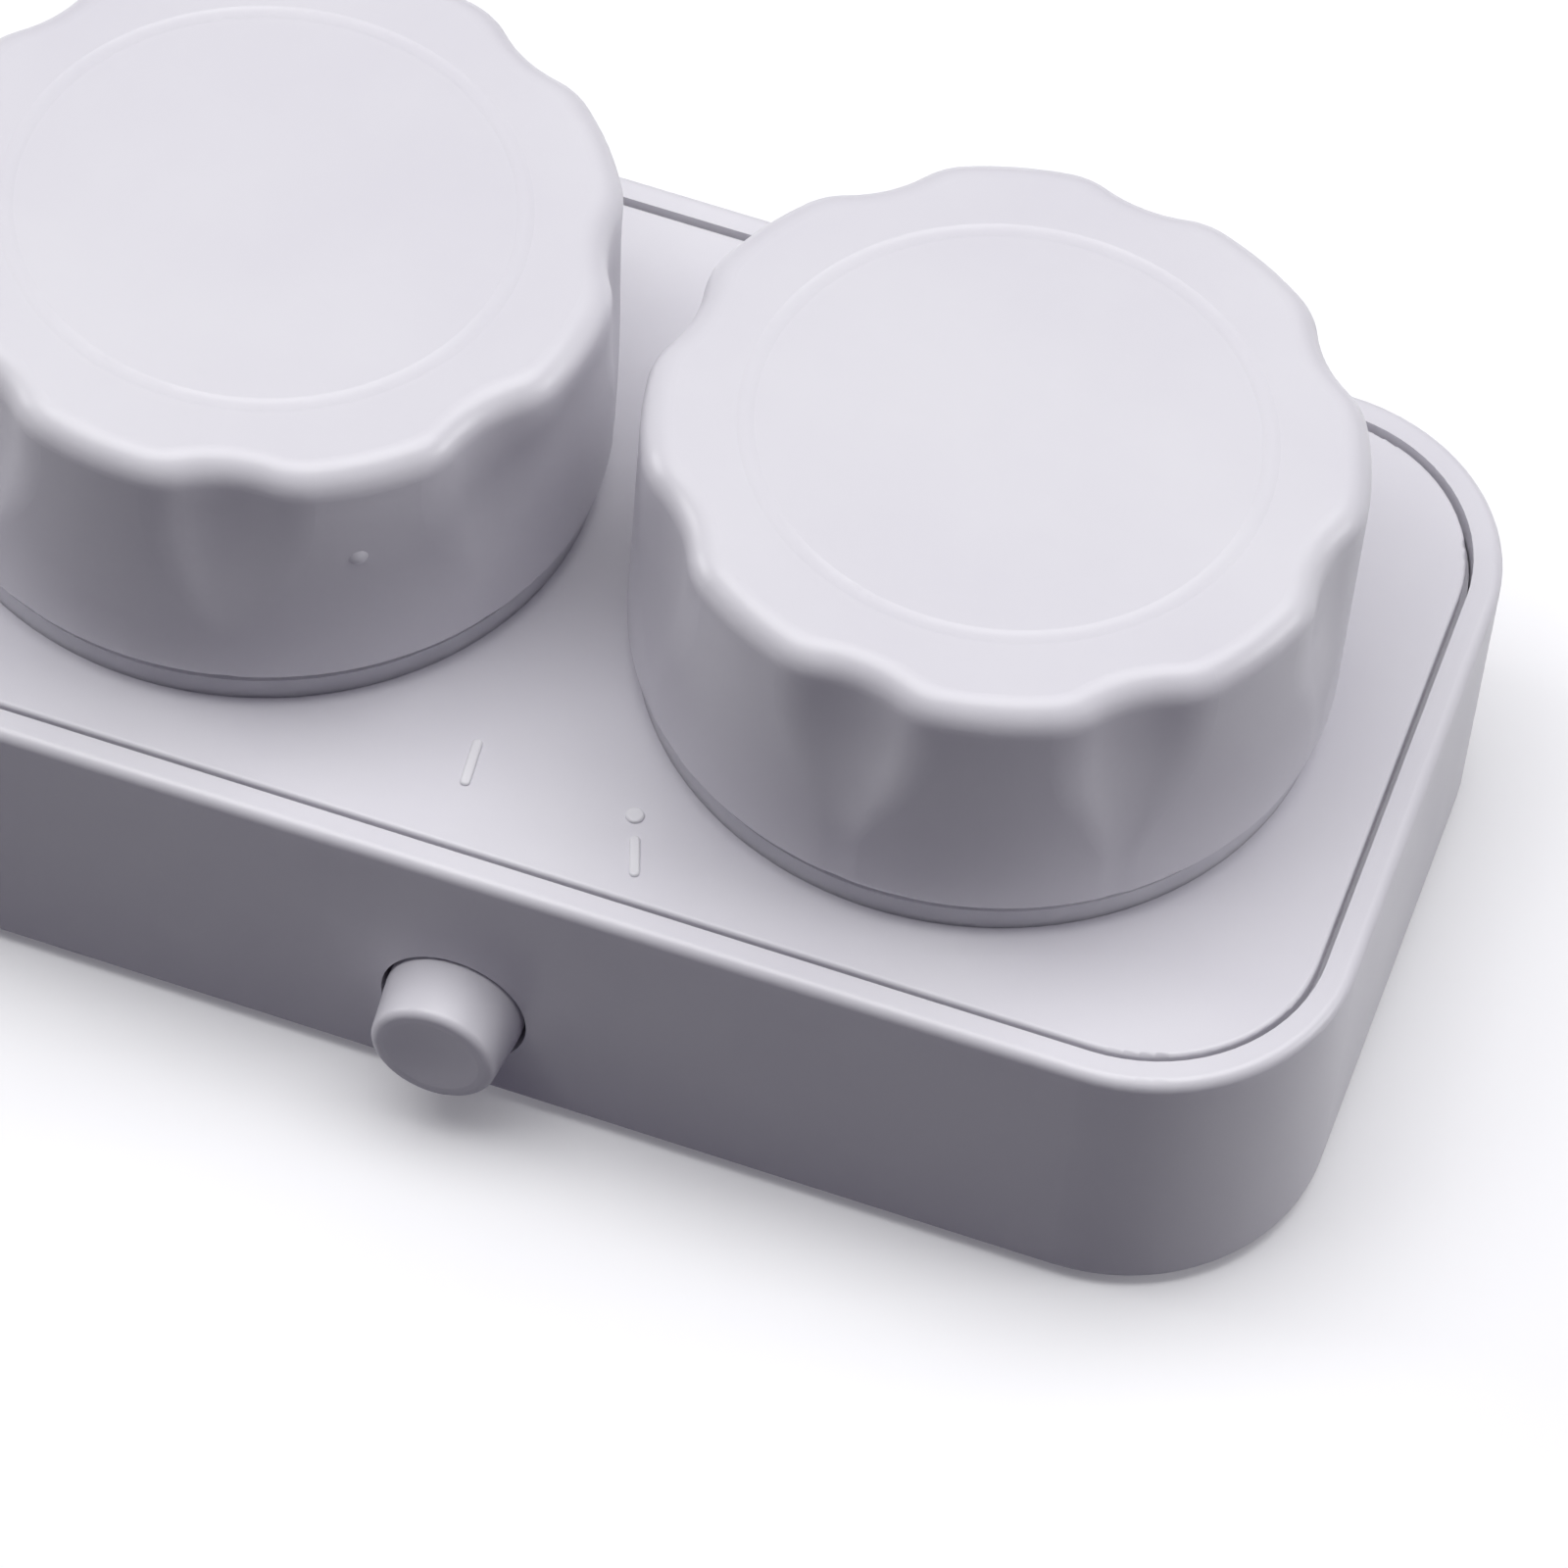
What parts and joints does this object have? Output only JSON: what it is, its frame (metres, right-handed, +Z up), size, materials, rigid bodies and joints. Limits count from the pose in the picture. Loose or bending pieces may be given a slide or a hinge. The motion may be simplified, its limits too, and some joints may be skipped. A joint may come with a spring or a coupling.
{
  "type": "contact lens case",
  "caption": "Powered contact lens case: a low rounded tub with two scalloped screw caps over lens cups, a round push button on the front, and a cell and vibration motor inside.",
  "frame": {"origin": "under the middle of the body, on the surface that the case stands on; the flat underside is 0.4 mm above it, on four rubber feet", "axes": "+X along the case from the left cap to the right cap, -Y out of the front wall through the push button, +Z up"},
  "size_m": [0.072, 0.0417, 0.029],
  "materials": {
    "white_plastic": "glossy white ABS with a faint lilac cast",
    "clear_plastic": "natural white polypropylene, semi-gloss",
    "silicone": "translucent white silicone, matte",
    "black_plastic": "black moulded plastic",
    "spring_steel": "nickel-plated steel",
    "screw_steel": "zinc-plated steel",
    "cell_sleeve": "plain printed film sleeve, no marking",
    "magnet_iron": "sintered ferrite",
    "copper_winding": "enamelled copper winding",
    "brass_tab": "tinned brass",
    "weight_brass": "machined brass",
    "black_rubber": "black rubber",
    "red_wire": "red PVC insulation",
    "blue_wire": "blue PVC insulation",
    "black_wire": "black PVC insulation"
  },
  "bodies": {
    "case": {"body_shell": "white_plastic", "deck_plate": "white_plastic", "lens_cup_left": "clear_plastic", "lens_cup_right": "clear_plastic", "switch_housing": "black_plastic", "switch_spring": "spring_steel", "switch_pins": "spring_steel", "cell_can": "spring_steel", "cell_jacket": "cell_sleeve", "contact_positive": "spring_steel", "contact_negative": "spring_steel", "case_screws": "screw_steel", "rubber_feet": "silicone", "motor_can": "spring_steel", "motor_magnet": "magnet_iron", "motor_end_cap": "black_plastic", "motor_tabs": "brass_tab", "motor_sleeve": "black_rubber", "wire_positive": "red_wire", "wire_switched": "blue_wire", "wire_negative": "black_wire"},
    "liner_left": {"cap_liner_left": "silicone"},
    "cap_left": {"cap_left": "white_plastic"},
    "liner_right": {"cap_liner_right": "silicone"},
    "cap_right": {"cap_right": "white_plastic"},
    "button": {"power_button": "white_plastic", "switch_plunger": "black_plastic"},
    "rotor": {"motor_rotor": "copper_winding", "motor_shaft": "spring_steel", "eccentric_weight": "weight_brass"},
    "battery_cover": {"battery_cover": "white_plastic"}
  },
  "joints": [
    {"name": "cap_left_lift", "type": "slide", "parent": "case", "child": "liner_left", "axis": [0, 0, 1], "range_m": [0, 0.012]},
    {"name": "cap_left_turn", "type": "hinge", "parent": "liner_left", "child": "cap_left", "pos_m": [-0.01625, 0, 0.0145], "axis": [0, 0, 1], "range_deg": [0, 720]},
    {"name": "cap_right_lift", "type": "slide", "parent": "case", "child": "liner_right", "axis": [0, 0, 1], "range_m": [0, 0.012]},
    {"name": "cap_right_turn", "type": "hinge", "parent": "liner_right", "child": "cap_right", "pos_m": [0.01625, 0, 0.0145], "axis": [0, 0, 1], "range_deg": [0, 720]},
    {"name": "button_press", "type": "slide", "parent": "case", "child": "button", "axis": [0, 1, 0], "range_m": [0, 0.0015], "stiffness_N_per_m": 300, "springref_m": -0.002, "deforming": ["switch_spring"]},
    {"name": "motor_spin", "type": "hinge", "parent": "case", "child": "rotor", "pos_m": [0, -0.0012, 0.0069], "axis": [1, 0, 0], "continuous": true},
    {"name": "battery_cover_open", "type": "hinge", "parent": "case", "child": "battery_cover", "pos_m": [-0.0239, 0.0112, 0.0004], "axis": [0, 1, 0], "range_deg": [0, 60]}
  ],
  "couplings": [
    {"joint": "cap_left_lift", "follows": "cap_left_turn", "m_per_rad": 0.00095492},
    {"joint": "cap_right_lift", "follows": "cap_right_turn", "m_per_rad": 0.00095492}
  ]
}
